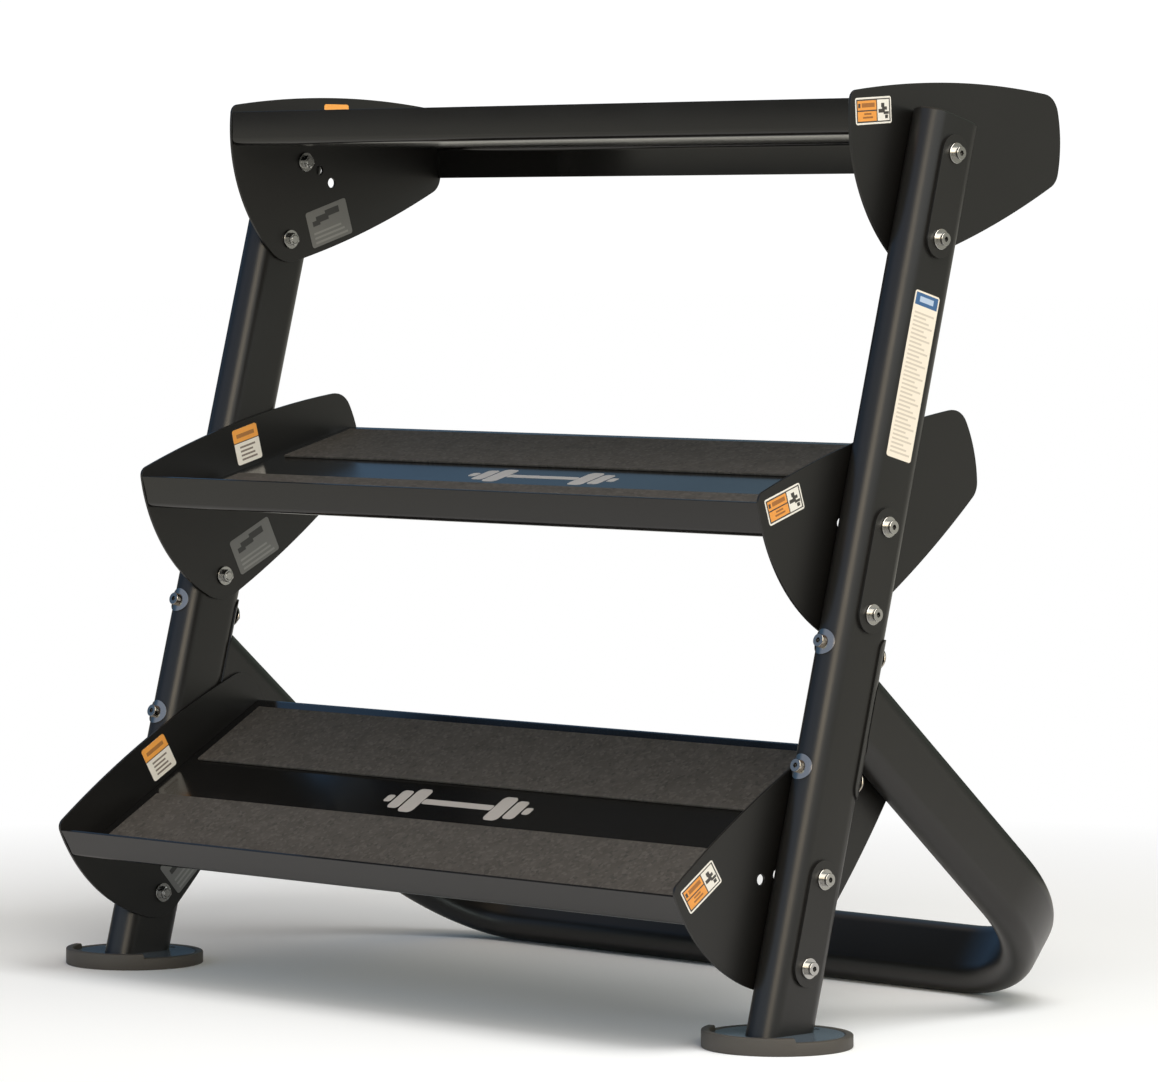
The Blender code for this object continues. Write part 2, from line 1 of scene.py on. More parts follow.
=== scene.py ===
"""Looks of the three-tier dumbbell rack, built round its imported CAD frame.

Units are metres: +X to the right, +Y to the rear, +Z up. Shapes that lean with the uprights are made
in the uprights' frame (u along the tube, v to the rear), and each tray's shapes in its tray frame
(y to the rear and z up from its pivot, square to the tray's floor). Both frames come from the CAD.
"""

import json
import math

import bmesh
import bpy
from mathutils import Matrix, Vector

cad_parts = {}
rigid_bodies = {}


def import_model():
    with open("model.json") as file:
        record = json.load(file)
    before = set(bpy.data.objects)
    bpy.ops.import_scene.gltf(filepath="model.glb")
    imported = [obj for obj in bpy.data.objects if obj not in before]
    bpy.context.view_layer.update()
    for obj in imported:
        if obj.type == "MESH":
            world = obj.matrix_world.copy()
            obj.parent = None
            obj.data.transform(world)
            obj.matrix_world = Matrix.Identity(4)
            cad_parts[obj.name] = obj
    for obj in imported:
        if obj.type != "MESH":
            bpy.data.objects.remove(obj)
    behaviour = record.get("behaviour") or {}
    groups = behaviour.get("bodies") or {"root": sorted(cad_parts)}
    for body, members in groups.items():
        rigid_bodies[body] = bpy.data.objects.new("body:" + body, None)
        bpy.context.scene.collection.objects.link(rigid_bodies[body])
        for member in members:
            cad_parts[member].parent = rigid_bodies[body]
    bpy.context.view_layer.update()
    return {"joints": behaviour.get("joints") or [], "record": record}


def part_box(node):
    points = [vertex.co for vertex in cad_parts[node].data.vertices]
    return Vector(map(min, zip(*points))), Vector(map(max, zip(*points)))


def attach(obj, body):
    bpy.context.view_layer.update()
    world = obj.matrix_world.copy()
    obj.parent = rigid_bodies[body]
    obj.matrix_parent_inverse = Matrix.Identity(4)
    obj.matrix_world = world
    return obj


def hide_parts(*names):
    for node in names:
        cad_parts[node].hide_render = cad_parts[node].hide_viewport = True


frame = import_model()

# Places taken from the frame.
PIVOTS = {joint["child"]: Vector(joint["pos_m"]) for joint in frame["joints"]}
MOUNTS = {mount["name"]: mount for mount in frame["record"]["mounts"]}
TRAYS = ("top", "middle", "lower")
SIDES = {"left": -1, "right": 1}
FOOT_Y = MOUNTS["floor_under_left_foot"]["pos_m"][1]
UPRIGHTS_RISE = PIVOTS["top_tray"] - PIVOTS["lower_tray"]
LEAN = math.atan2(UPRIGHTS_RISE.y, UPRIGHTS_RISE.z)
PLATE_INNER, PLATE_OUTER = (corner.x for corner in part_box("top_side_plate_right"))
UPRIGHT_INNER, UPRIGHT_OUTER = (corner.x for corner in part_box("upright_right"))
STRIP_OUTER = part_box("top_bolt_strip_right")[1].x
MAT_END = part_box("top_mat_rear")[1].x
BASE_PLATE_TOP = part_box("base_plate_right")[1].z
UPRIGHT_X = (UPRIGHT_INNER + UPRIGHT_OUTER) / 2

# Flat-oval tube.
TUBE_DEPTH = 0.078
TUBE_WIDTH = UPRIGHT_OUTER - UPRIGHT_INNER
TUBE_RADIUS = TUBE_WIDTH / 2
ROUND_CENTRE = TUBE_DEPTH / 2 - TUBE_RADIUS
TUBE_TOP = 0.9473
TUBE_TOP_ROUND = 0.0022
TUBE_ARC_STEPS = 24
CLEAR = 0.0003

# Side plates: four long arcs (centre and radius, from the pivot) and the arcs that join them.
PLATE_TOP_ARC = (0.068, -0.963, 1.1208)
PLATE_REAR_ARC = (0.094, 0.098, 0.140)
PLATE_LOWER_ARC = (-0.264, 1.044, 1.1024)
PLATE_FRONT_ARC = (0.097, 0.121, 0.184)
PLATE_FRONT_CORNER = 0.010
PLATE_REAR_TOP_CORNER = 0.024
PLATE_REAR_LOW_CORNER = 0.020
PLATE_LOBE = 0.040
PLATE_HOLE_RADIUS = 0.0055
ANGLE_BOLT_RADIUS = 0.089
TILT_STEP = math.radians(15)
OUTLINE_STEP = 0.004

# Tray pans and mats.
SHEET = 0.003
PAN_FRONT = -0.086
PAN_REAR = 0.230
PAN_UNDERSIDE = 0.103
PAN_FLOOR = PAN_UNDERSIDE + SHEET
PAN_LIP_TOP = 0.140
PAN_FLANGE_BOTTOM = 0.0695
PAN_BEND = 0.005
MAT_DEPTH = 0.105
MAT_FRONTS = {"front": -0.069, "rear": 0.104}
MAT_THICKNESS = 0.0025

# Bolt strips, feet and rear stand.
STRIP_LENGTH = 0.127
STRIP_WIDTH = 0.038
FOOT_RADIUS = 0.075
FOOT_RIM_HEIGHT = 0.013
FOOT_LIP_HEIGHT = 0.0175
FOOT_LIP_HALF_ANGLE = math.radians(64)
FOOT_LIP_TURN = math.radians(-7)
FOOT_LIP_RAMP = math.radians(0.6)
FOOT_EDGE_ROUND = 0.0016
FOOT_FLOOR = 0.0062
BASE_PLATE_BOTTOM = 0.0063
BASE_PLATE_RADIUS = 0.0665
ANCHOR_HOLE_RADIUS = 0.006
ANCHOR_HOLE_Y = 0.053
STAND_SLOPE = math.radians(40.3)
STAND_BAR_BEHIND = 0.4566
STAND_BEND_RADIUS = 0.152
SADDLE_RADIUS = 0.0216
SADDLE_CENTRE = 0.336
SADDLE_LENGTH = 0.162
SADDLE_OUTER_ANGLE = math.radians(7)
SADDLE_INNER_ANGLE = math.radians(148)
SADDLE_CORNER = 0.012
STAND_BOLT_OFFSET = 0.063

# Fasteners.
TURN_SIDES = 48
WASHER_RADIUS = 0.0105
WASHER_THICKNESS = 0.002
CURVED_WASHER_RADIUS = 0.0128
REAR_WASHER_RADIUS = 0.0120
HEAD_RADIUS = 0.0066
HEAD_HEIGHT = 0.006
SOCKET_FLATS = 0.0050
SOCKET_DEPTH = 0.003
SHANK_RADIUS = 0.00475
NUT_FLATS = 0.0127
NUT_HEIGHT = 0.0055
BOLT_END = 0.0005
PIVOT_BOLT_TWIST = 57
TILT_BOLT_TWIST = 64
STAND_BOLT_TWIST = 20

# Labels and pictograms. Places are (y, z) in a tray frame, and turns are in degrees.
LABEL_THICKNESS = 0.00015
NOTICE_SIZE = (0.037, 0.040)
NOTICE_PLACE = (0.0704, 0.1307)
SERIAL_SIZE = (0.063, 0.041)
SERIAL_PLACES = {"top": (0.0586, 0.0180), "middle": (0.0512, 0.0190), "lower": (0.0451, 0.0116)}
SERIAL_TURNS = {"top": 17.0, "middle": 11.0, "lower": 11.7}
HAND_SIZE = (0.053, 0.027)
HAND_PLACES = {"top": (-0.053, 0.128), "middle": (-0.051, 0.128), "lower": (-0.051, 0.128)}
HAND_TURN = 3.5
GUIDE_WIDTH = 0.037
GUIDE_LOW = 0.594
GUIDE_HIGH = 0.764
EMBLEM_THICKNESS = 0.00012
EMBLEM_MIDDLE = 0.070
EMBLEM_BAR = (0.104, 0.009)
EMBLEM_DISCS = ((0.064, 0.022, 0.042), (0.0865, 0.017, 0.032), (0.1035, 0.011, 0.012))

LEAN_FRAME = Matrix.Translation((0.0, FOOT_Y, 0.0)) @ Matrix.Rotation(-LEAN, 4, "X")
LEAN_INVERSE = LEAN_FRAME.inverted()


def tray_tilt(tray):
    axis = MOUNTS[f"{tray}_tray_rear_mat"]["axis"]
    return math.atan2(-axis[1], axis[2])


def tray_frame(tray):
    return Matrix.Translation(PIVOTS[f"{tray}_tray"]) @ Matrix.Rotation(tray_tilt(tray), 4, "X")


def pivot_height(tray):
    """Distance of a tray's pivot along the uprights."""
    return (LEAN_INVERSE @ PIVOTS[f"{tray}_tray"]).z


# ---------------------------------------------------------------------------------------------
# Node materials


def add_node(tree, kind, values=None, **settings):
    """Add a shader node. A value is a constant or another node's output socket."""
    node = tree.nodes.new(kind)
    for key, setting in settings.items():
        setattr(node, key, setting)
    for key, value in (values or {}).items():
        if isinstance(value, bpy.types.NodeSocket):
            tree.links.new(value, node.inputs[key])
        else:
            node.inputs[key].default_value = value
    return node


def new_material(name):
    material = bpy.data.materials.new(name)
    material.use_nodes = True
    tree = material.node_tree
    tree.nodes.clear()
    shader = add_node(tree, "ShaderNodeBsdfPrincipled")
    output = add_node(tree, "ShaderNodeOutputMaterial")
    tree.links.new(shader.outputs["BSDF"], output.inputs["Surface"])
    return material, tree, shader


def object_position(tree):
    return add_node(tree, "ShaderNodeTexCoord").outputs["Object"]


def noise(tree, position, scale, detail=2.0):
    values = {"Vector": position, "Scale": scale, "Detail": detail}
    return add_node(tree, "ShaderNodeTexNoise", values).outputs["Fac"]


def remap(tree, value, low, high, from_low=0.3, from_high=0.7):
    values = {"Value": value, "From Min": from_low, "From Max": from_high, "To Min": low, "To Max": high}
    return add_node(tree, "ShaderNodeMapRange", values).outputs["Result"]


def mix_colour(tree, factor, first, second):
    mix = add_node(tree, "ShaderNodeMix", data_type="RGBA")
    for key, value in (("Factor", factor), ("A", first), ("B", second)):
        sockets = [s for s in mix.inputs if s.name == key and s.enabled]
        if isinstance(value, bpy.types.NodeSocket):
            tree.links.new(value, sockets[0])
        else:
            sockets[0].default_value = value
    return next(s for s in mix.outputs if s.enabled)


def bump(tree, height, distance, strength=1.0):
    values = {"Height": height, "Distance": distance, "Strength": strength}
    return add_node(tree, "ShaderNodeBump", values).outputs["Normal"]


def colour(red, green, blue):
    return (red, green, blue, 1.0)


def powder_coat(name, base, roughness, grain=0.000012):
    """Baked powder coat: satin, with a fine orange peel and a faint drift in its gloss."""
    material, tree, shader = new_material(name)
    position = object_position(tree)
    drift = noise(tree, position, 9.0, 3.0)
    lighter = tuple(1.25 * channel for channel in base)
    tree.links.new(mix_colour(tree, drift, colour(*base), colour(*lighter)), shader.inputs["Base Color"])
    tree.links.new(remap(tree, drift, roughness - 0.02, roughness + 0.03), shader.inputs["Roughness"])
    tree.links.new(bump(tree, noise(tree, position, 700.0), grain), shader.inputs["Normal"])
    return material


def granular_rubber(name):
    """Pressed rubber granules: dull, with pale and dark flecks and a pebbled surface."""
    material, tree, shader = new_material(name)
    position = object_position(tree)
    grains = add_node(tree, "ShaderNodeTexVoronoi", {"Vector": position, "Scale": 300.0})
    grain_tone = add_node(tree, "ShaderNodeSeparateColor", {"Color": grains.outputs["Color"]})
    patches = noise(tree, position, 45.0, 5.0)
    base = mix_colour(tree, remap(tree, patches, 0.0, 1.0), colour(0.061, 0.055, 0.048),
                      colour(0.077, 0.070, 0.062))
    pale = remap(tree, grain_tone.outputs["Red"], 0.0, 0.55, 0.6, 1.0)
    flecked = mix_colour(tree, pale, base, colour(0.118, 0.108, 0.096))
    dark = remap(tree, grain_tone.outputs["Green"], 0.0, 0.5, 0.8, 1.0)
    tint = mix_colour(tree, dark, flecked, colour(0.030, 0.029, 0.028))
    tree.links.new(tint, shader.inputs["Base Color"])
    shader.inputs["Roughness"].default_value = 0.85
    shader.inputs["Specular IOR Level"].default_value = 0.3
    tree.links.new(bump(tree, grains.outputs["Distance"], 0.0003, 0.5), shader.inputs["Normal"])
    return material


def moulded_rubber(name):
    """Matte moulded rubber of the feet, with faint mottling."""
    material, tree, shader = new_material(name)
    position = object_position(tree)
    mottle = noise(tree, position, 40.0, 4.0)
    base = mix_colour(tree, mottle, colour(0.056, 0.050, 0.043), colour(0.075, 0.068, 0.058))
    tree.links.new(base, shader.inputs["Base Color"])
    tree.links.new(remap(tree, mottle, 0.55, 0.70), shader.inputs["Roughness"])
    tree.links.new(bump(tree, noise(tree, position, 900.0), 0.00004), shader.inputs["Normal"])
    return material


def plated_steel(name, base, roughness, socket_shade_radius=0.0):
    """Bright zinc plate. Inside the socket radius, round the local Z, it is near black and rough: painted
    shade of the socket's recess.
    """
    material, tree, shader = new_material(name)
    position = object_position(tree)
    place = add_node(tree, "ShaderNodeSeparateXYZ", {"Vector": position})
    flat = add_node(tree, "ShaderNodeCombineXYZ", {"X": place.outputs["X"], "Y": place.outputs["Y"]})
    reach = add_node(tree, "ShaderNodeVectorMath", {0: flat.outputs["Vector"]}, operation="LENGTH")
    inside = remap(tree, reach.outputs["Value"], 1.0, 0.0, socket_shade_radius, socket_shade_radius + 0.0003)
    cloud = noise(tree, position, 60.0)
    darker = tuple(0.94 * channel for channel in base)
    plate = mix_colour(tree, cloud, colour(*darker), colour(*base))
    # Painted shade: within the socket radius the recess is coloured near black.
    tree.links.new(mix_colour(tree, inside, plate, colour(0.030, 0.029, 0.027)), shader.inputs["Base Color"])
    tree.links.new(remap(tree, inside, roughness, 0.6, 0.0, 1.0), shader.inputs["Roughness"])
    shader.inputs["Metallic"].default_value = 1.0
    return material


def printed_label(name, base, patches, roughness=0.35, metallic=0.0):
    """Printed label: a ground colour, then patches (left, right, bottom, top, colour) in UV space."""
    material, tree, shader = new_material(name)
    uv = add_node(tree, "ShaderNodeTexCoord").outputs["UV"]
    place = add_node(tree, "ShaderNodeSeparateXYZ", {"Vector": uv})
    across, up = place.outputs["X"], place.outputs["Y"]
    fibres = noise(tree, uv, 60.0, 3.0)
    faded = tuple(0.94 * channel for channel in base)
    ink = mix_colour(tree, fibres, colour(*faded), colour(*base))
    for left, right, bottom, top, patch in patches:
        inside = 1.0
        for value, limit, operation in (
            (across, left, "GREATER_THAN"), (across, right, "LESS_THAN"),
            (up, bottom, "GREATER_THAN"), (up, top, "LESS_THAN"),
        ):
            test = add_node(tree, "ShaderNodeMath", {0: value, 1: limit}, operation=operation)
            both = add_node(tree, "ShaderNodeMath", {0: test.outputs[0], 1: inside}, operation="MULTIPLY")
            inside = both.outputs[0]
        ink = mix_colour(tree, inside, ink, colour(*patch))
    tree.links.new(ink, shader.inputs["Base Color"])
    shader.inputs["Roughness"].default_value = roughness
    shader.inputs["Metallic"].default_value = metallic
    return material


def text_bars(left, right, bottom, top, count, ink, ragged=0.12):
    """Plain bars that stand where a label has lines of small print."""
    bars = []
    pitch = (top - bottom) / count
    for i in range(count):
        low = bottom + i * pitch
        end = right - ragged * ((i * 7) % 3) / 2
        bars.append((left, end, low, low + 0.45 * pitch, ink))
    return bars


HAND_ORANGE = (0.76, 0.31, 0.06)
CREAM = (0.86, 0.78, 0.66)
PALE = (0.80, 0.77, 0.70)
PRINT = (0.05, 0.045, 0.04)
BLUE = (0.040, 0.120, 0.27)

COAT = powder_coat("satin_powder_coat", (0.0078, 0.0073, 0.0065), 0.33)
# Painted shade: the side plates take a darker copy of the satin coat, to darken their shaded fronts beside
# the uprights.
PLATE_COAT = powder_coat("side_plate_powder_coat_darkened_for_shade", (0.0062, 0.0058, 0.0052), 0.36)
PAN_COAT = powder_coat("tray_powder_coat", (0.0066, 0.0063, 0.0058), 0.16, 0.000004)
BASE_STEEL = powder_coat("base_plate_coat", (0.085, 0.110, 0.135), 0.15)
FOOT_RUBBER = moulded_rubber("foot_rubber")
MAT_RUBBER = granular_rubber("mat_rubber")
ZINC = plated_steel("zinc_plate", (0.43, 0.43, 0.42), 0.26)
# The last value of these two platings is the socket radius, within which shade is painted into the heads'
# sockets.
SOCKET_ZINC = plated_steel("zinc_plate_with_painted_socket_shade", (0.47, 0.465, 0.45), 0.18, 0.0024)
STAND_ZINC = plated_steel("stand_zinc_plate", (0.38, 0.35, 0.31), 0.18, 0.0024)
DECAL_WHITE = printed_label("pale_decal", (0.50, 0.465, 0.43), [])
NOTICE_LABEL = printed_label(
    "orange_and_cream_label", (0.98, 0.93, 0.83),
    [(0.0, 1.0, 0.60, 0.625, PRINT), (0.0, 1.0, 0.625, 1.0, (1.0, 0.43, 0.085)),
     (0.14, 0.86, 0.74, 0.85, (0.46, 0.20, 0.06))]
    + text_bars(0.20, 0.82, 0.10, 0.56, 4, (0.26, 0.21, 0.17)),
)
HAND_LABEL = printed_label(
    "orange_and_pale_label", PALE,
    [
        (0.03, 0.97, 0.065, 0.935, PRINT), (0.06, 0.585, 0.53, 0.88, HAND_ORANGE),
        (0.06, 0.585, 0.12, 0.48, HAND_ORANGE), (0.18, 0.54, 0.63, 0.79, (0.33, 0.13, 0.03)),
        (0.08, 0.14, 0.62, 0.78, PRINT), (0.24, 0.44, 0.35, 0.42, (0.30, 0.12, 0.03)),
        (0.20, 0.48, 0.22, 0.29, (0.30, 0.12, 0.03)), (0.61, 0.94, 0.11, 0.89, (0.78, 0.75, 0.68)),
        (0.64, 0.82, 0.40, 0.54, PRINT), (0.74, 0.88, 0.50, 0.62, PRINT), (0.78, 0.93, 0.34, 0.44, PRINT),
        (0.72, 0.81, 0.60, 0.76, PRINT), (0.82, 0.90, 0.18, 0.32, PRINT),
    ],
)
SERIAL_LABEL = printed_label(
    "grey_metal_label", (0.25, 0.25, 0.245),
    [(0.12, 0.30, 0.56, 0.70, (0.07, 0.07, 0.07)), (0.22, 0.52, 0.62, 0.80, (0.07, 0.07, 0.07)),
     (0.46, 0.80, 0.70, 0.88, (0.07, 0.07, 0.07))]
    + text_bars(0.10, 0.90, 0.08, 0.46, 3, (0.36, 0.36, 0.35)),
    roughness=0.4, metallic=0.4,
)
GUIDE_LABEL = printed_label(
    "blue_and_cream_label", CREAM,
    [(0.05, 0.95, 0.915, 0.989, BLUE), (0.22, 0.78, 0.937, 0.970, (0.45, 0.55, 0.70))]
    + text_bars(0.10, 0.90, 0.03, 0.89, 34, (0.60, 0.53, 0.44), 0.3),
)


# ---------------------------------------------------------------------------------------------
# Shapes: a shape is a list of vertices and a list of faces


def arc(centre_a, centre_b, radius, start, end, steps):
    """Points along an arc from angle start to angle end, both included."""
    points = []
    for i in range(steps + 1):
        angle = start + (end - start) * i / steps
        points.append((centre_a + radius * math.cos(angle), centre_b + radius * math.sin(angle)))
    return points


def circle(centre_a, centre_b, radius, sides=40):
    return arc(centre_a, centre_b, radius, 0.0, 2 * math.pi * (sides - 1) / sides, sides - 1)


def flat_oval(depth, width, steps=TUBE_ARC_STEPS):
    """Flat-oval outline: two half circles joined by straight sides along the second axis."""
    offset = (depth - width) / 2
    rear = arc(0.0, offset, width / 2, 0.0, math.pi, steps)
    front = arc(0.0, -offset, width / 2, math.pi, 2 * math.pi, steps)
    return rear + front


def ring_faces(first, second, count):
    return [
        (first + i, first + (i + 1) % count, second + (i + 1) % count, second + i)
        for i in range(count)
    ]


def loft(rings, closed_loop=False):
    """Skin a list of equal rings, with a cap on each end unless the last ring meets the first."""
    count = len(rings[0])
    vertices = [point for ring in rings for point in ring]
    faces = []
    for i in range(len(rings) - 1):
        faces += ring_faces(i * count, (i + 1) * count, count)
    last = (len(rings) - 1) * count
    if closed_loop:
        faces += ring_faces(last, 0, count)
    else:
        faces.append(tuple(range(count)))
        faces.append(tuple(range(last, last + count)))
    return vertices, faces


def join(*shapes):
    vertices = []
    faces = []
    for more_vertices, more_faces in shapes:
        start = len(vertices)
        vertices += more_vertices
        faces += [tuple(start + index for index in face) for face in more_faces]
    return vertices, faces


def slab(outline, holes, low, high):
    """Flat shape with through holes: outlines in (y, z), thickness along X from low to high."""
    surface = bmesh.new()
    edges = []
    for loop in [outline] + holes:
        corners = [surface.verts.new((low, y, z)) for y, z in loop]
        for i, corner in enumerate(corners):
            edges.append(surface.edges.new((corner, corners[(i + 1) % len(corners)])))
    bmesh.ops.triangle_fill(surface, use_beauty=True, use_dissolve=False, edges=edges)
    extruded = bmesh.ops.extrude_face_region(surface, geom=surface.faces[:])
    moved = [item for item in extruded["geom"] if isinstance(item, bmesh.types.BMVert)]
    bmesh.ops.translate(surface, verts=moved, vec=(high - low, 0.0, 0.0))
    surface.verts.index_update()
    vertices = [vertex.co.copy() for vertex in surface.verts]
    faces = [tuple(vertex.index for vertex in face.verts) for face in surface.faces]
    surface.free()
    return vertices, faces


def add_piece(name, shape, material, body, stands_for=(), matrix=Matrix(), edge=0.0, sharp=35):
    """Make one piece of the finished rack. Its sharp edges are rounded by edge, where that is given."""
    vertices, faces = shape
    mesh = bpy.data.meshes.new(name)
    mesh.from_pydata([tuple(vertex) for vertex in vertices], [], faces)
    surface = bmesh.new()
    surface.from_mesh(mesh)
    bmesh.ops.recalc_face_normals(surface, faces=surface.faces)
    surface.to_mesh(mesh)
    surface.free()
    mesh.materials.append(material)
    mesh.shade_smooth()
    mesh.set_sharp_from_angle(angle=math.radians(sharp))
    piece = bpy.data.objects.new(name, mesh)
    bpy.context.collection.objects.link(piece)
    piece.matrix_world = matrix
    if edge:
        rounding = piece.modifiers.new("rounded_edges", "BEVEL")
        rounding.width = edge
        rounding.segments = 3
        rounding.limit_method = "ANGLE"
        rounding.angle_limit = math.radians(sharp)
        rounding.harden_normals = True
    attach(piece, body)
    if stands_for:
        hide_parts(*stands_for)
    return piece


# ---------------------------------------------------------------------------------------------
# Uprights and feet


def upright_ring(outline, side, height_at):
    return [Vector((side * UPRIGHT_X + x, v, height_at(v))) for x, v in outline]


def on_base_plate(v):
    return (BASE_PLATE_TOP + v * math.sin(LEAN)) / math.cos(LEAN)


def add_upright(side_name, side):
    """Flat-oval tube with its welded and ground cap, as one skin with a softened top edge."""
    rings = [upright_ring(flat_oval(TUBE_DEPTH, TUBE_WIDTH), side, on_base_plate)]
    steps = 6
    for i in range(steps + 1):
        turn = math.pi / 2 * i / steps
        inset = 2 * TUBE_TOP_ROUND * (1 - math.cos(turn))
        height = TUBE_TOP - TUBE_TOP_ROUND * (1 - math.sin(turn))
        outline = flat_oval(TUBE_DEPTH - inset, TUBE_WIDTH - inset)
        rings.append(upright_ring(outline, side, lambda v, height=height: height))
    add_piece(
        f"upright_tube_{side_name}", loft(rings), COAT, "rack",
        (f"upright_{side_name}", f"upright_cap_{side_name}"), LEAN_FRAME,
    )


def foot_top(angle):
    """Height of the foot's rim: a raised lip round the front, with a steep step at each end."""
    from_middle = abs((angle - FOOT_LIP_TURN - 0.5 * math.pi) % (2 * math.pi) - math.pi)
    past_step = FOOT_LIP_HALF_ANGLE + FOOT_LIP_RAMP - from_middle
    share = min(max(past_step / (2 * FOOT_LIP_RAMP), 0.0), 1.0)
    return FOOT_RIM_HEIGHT + (FOOT_LIP_HEIGHT - FOOT_RIM_HEIGHT) * share


def foot_angles():
    """Directions round a foot: even steps, and fine ones where its lip ramps up."""
    angles = [2 * math.pi * i / 120 for i in range(120)]
    for end in (-FOOT_LIP_HALF_ANGLE, FOOT_LIP_HALF_ANGLE):
        for i in range(-3, 4):
            angles.append(1.5 * math.pi + FOOT_LIP_TURN + end + math.radians(0.25 * i) + 1e-5)
    return sorted(angles)


def foot_profile():
    """Section of a foot: radius, height, and whether that height counts from the rim's top."""
    inner = BASE_PLATE_RADIUS + CLEAR
    bevel = 0.001
    steps = 6
    profile = [(FOOT_RADIUS - bevel, 0.0, False), (FOOT_RADIUS, bevel, False)]
    for i in range(steps + 1):
        turn = math.pi / 2 * i / steps
        inset = FOOT_EDGE_ROUND * (1 - math.cos(turn))
        profile.append((FOOT_RADIUS - inset, -FOOT_EDGE_ROUND * (1 - math.sin(turn)), True))
    for i in range(steps + 1):
        turn = math.pi / 2 * i / steps
        inset = FOOT_EDGE_ROUND * (1 - math.sin(turn))
        profile.append((inner + inset, -FOOT_EDGE_ROUND * (1 - math.cos(turn)), True))
    profile.append((inner, FOOT_FLOOR, False))
    return profile


def add_foot(side_name, side):
    """Moulded rubber cup with rounded rims, round the steel base plate."""
    rings = []
    for radius, height, from_top in foot_profile():
        ring = []
        for angle in foot_angles():
            z = foot_top(angle) + height if from_top else height
            ring.append(Vector((radius * math.cos(angle), radius * math.sin(angle), z)))
        rings.append(ring)
    place = Matrix.Translation((side * UPRIGHT_X, FOOT_Y, 0.0))
    name = f"foot_cup_{side_name}"
    add_piece(name, loft(rings), FOOT_RUBBER, "rack", (f"foot_{side_name}",), place, sharp=50)


def add_base_plate(side_name, side):
    """Round steel plate inside the foot, with its anchor hole behind the upright."""
    turn = Matrix.Rotation(-math.pi / 2, 4, "Y")
    outline = circle(0.0, 0.0, BASE_PLATE_RADIUS, 120)
    hole = circle(ANCHOR_HOLE_Y, 0.0, ANCHOR_HOLE_RADIUS)
    shape = slab(outline, [hole], BASE_PLATE_BOTTOM, BASE_PLATE_TOP)
    place = Matrix.Translation((side * UPRIGHT_X, FOOT_Y, 0.0)) @ turn
    add_piece(
        f"base_disc_{side_name}", shape, BASE_STEEL, "rack",
        (f"base_plate_{side_name}",), place, 0.0005,
    )


# ---------------------------------------------------------------------------------------------
# Rear stand


def bar_height():
    return ROUND_CENTRE * math.cos(STAND_SLOPE) + TUBE_RADIUS


def bar_distance():
    """Distance down the legs from the uprights' axes to the middle of the floor bar."""
    behind = STAND_BAR_BEHIND * math.cos(LEAN) - bar_height() * math.sin(LEAN)
    return behind / math.cos(STAND_SLOPE - LEAN)


def saddle_back(x):
    """How far behind an upright's axis a leg ends, just clear of the saddle's round back."""
    return ROUND_CENTRE + math.sqrt((SADDLE_RADIUS + 2 * CLEAR) ** 2 - x**2)


def stand_stations(bend_steps=28):
    """Stations down one leg, along the floor bar and up the other leg."""
    bend_x = UPRIGHT_X - STAND_BEND_RADIUS
    bend_down = bar_distance() - STAND_BEND_RADIUS
    stations = [(UPRIGHT_X, 0.0, 0.0)]
    for side, first in ((1, 0.0), (-1, math.pi / 2)):
        for i in range(bend_steps + 1):
            turn = first + math.pi / 2 * i / bend_steps
            x = side * bend_x + STAND_BEND_RADIUS * math.cos(turn)
            down = bend_down + STAND_BEND_RADIUS * math.sin(turn)
            stations.append((x, down, turn))
    stations.append((-UPRIGHT_X, 0.0, math.pi))
    return stations


def stand_point(station, across_plane, outwards):
    """A point of the stand's skin: its offsets along the plane's normal and out of the bend."""
    x, down, turn = station
    leg = Vector((0.0, math.cos(STAND_SLOPE), -math.sin(STAND_SLOPE)))
    normal = Vector((0.0, math.sin(STAND_SLOPE), math.cos(STAND_SLOPE)))
    bar = Vector((0.0, FOOT_Y + STAND_BAR_BEHIND, bar_height()))
    point = bar + normal * across_plane + leg * (down - bar_distance() + outwards * math.sin(turn))
    point.x = x + outwards * math.cos(turn)
    if down == 0.0:
        behind = (LEAN_FRAME.to_3x3() @ Vector((0.0, 1.0, 0.0))).normalized()
        depth = (LEAN_INVERSE @ point).y
        point += leg * ((saddle_back(abs(point.x) - UPRIGHT_X) - depth) / leg.dot(behind))
    return point


def add_rear_stand():
    outline = flat_oval(TUBE_DEPTH, TUBE_WIDTH)
    rings = [[stand_point(station, v, x) for x, v in outline] for station in stand_stations()]
    add_piece("stand_tube", loft(rings), COAT, "rack", ("rear_stand",))


def saddle_ring(height, inset, side):
    """Cross-section of a saddle in (x, v): it wraps the round back of an upright."""
    steps = 30
    inner = TUBE_RADIUS + CLEAR
    trim = inset / SADDLE_RADIUS
    start = SADDLE_OUTER_ANGLE + trim
    end = SADDLE_INNER_ANGLE - trim
    points = arc(0.0, ROUND_CENTRE, SADDLE_RADIUS, start, end, steps)
    points += arc(0.0, ROUND_CENTRE, inner, end, start, steps)
    return [Vector((side * (UPRIGHT_X + x), v, height)) for x, v in points]


def add_saddle(side_name, side):
    """Curved plate on the end of a stand leg, bolted to the round back of an upright."""
    steps = 12
    stations = []
    for i in range(steps + 1):
        turn = math.pi / 2 * i / steps
        inset = SADDLE_CORNER * (1 - math.sin(turn))
        from_end = SADDLE_CORNER * (1 - math.cos(turn))
        stations.append((SADDLE_LENGTH / 2 - from_end, inset))
    low = [saddle_ring(SADDLE_CENTRE - reach, inset, side) for reach, inset in stations]
    high = [saddle_ring(SADDLE_CENTRE + reach, inset, side) for reach, inset in reversed(stations)]
    name = f"saddle_{side_name}"
    stands_for = (f"stand_saddle_{side_name}",)
    add_piece(name, loft(low + high), COAT, "rack", stands_for, LEAN_FRAME, 0.0004, 50)


# ---------------------------------------------------------------------------------------------
# Trays


